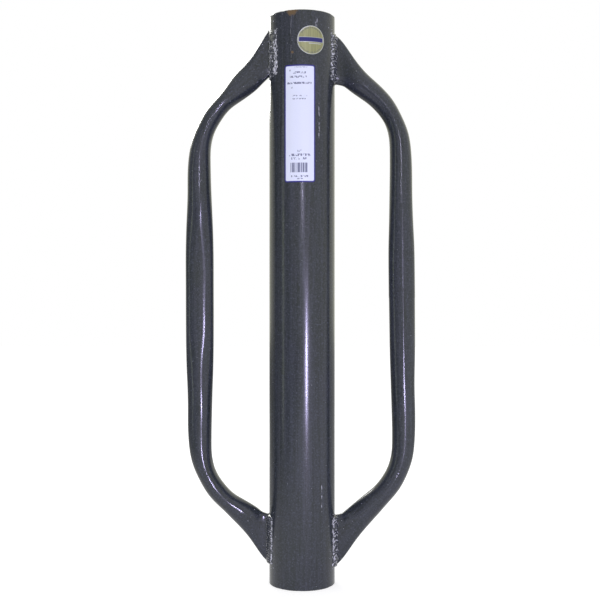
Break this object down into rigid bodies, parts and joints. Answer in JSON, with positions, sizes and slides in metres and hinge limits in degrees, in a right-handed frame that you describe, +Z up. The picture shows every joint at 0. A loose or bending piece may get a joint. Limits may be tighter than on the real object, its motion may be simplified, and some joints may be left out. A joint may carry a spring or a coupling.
{
  "type": "post driver",
  "caption": "Two-handled manual fence-post driver: heavy steel tube, open at the foot and plugged at the top, with bent tube handles welded to its sides.",
  "frame": {"origin": "centre of the barrel's open mouth, in the plane of its rim", "axes": "+Z up along the barrel to its closed top, +X towards the right handle as the label is read, -Y out of the front, which carries the label"},
  "size_m": [0.2579, 0.073, 0.63],
  "materials": {
    "barrel_paint": "gloss charcoal enamel over mill-marked pipe",
    "handle_paint": "gloss charcoal enamel over bent tube",
    "weld_paint": "gloss charcoal enamel over rippled weld with spatter",
    "plug_paint": "gloss charcoal enamel over sawn bar",
    "label_paper": "pale coated sticker with a dark blue border",
    "badge_foil": "dull gold foil sticker with a silver rim"
  },
  "bodies": {
    "root": {"barrel_tube": "barrel_paint", "striking_plug": "plug_paint", "plug_ring_weld": "weld_paint", "left_handle": "handle_paint", "right_handle": "handle_paint", "left_top_weld_front": "weld_paint", "left_top_weld_back": "weld_paint", "left_bottom_weld_front": "weld_paint", "left_bottom_weld_back": "weld_paint", "right_top_weld_front": "weld_paint", "right_top_weld_back": "weld_paint", "right_bottom_weld_front": "weld_paint", "right_bottom_weld_back": "weld_paint", "product_label": "label_paper", "round_badge": "badge_foil"}
  },
  "joints": []
}
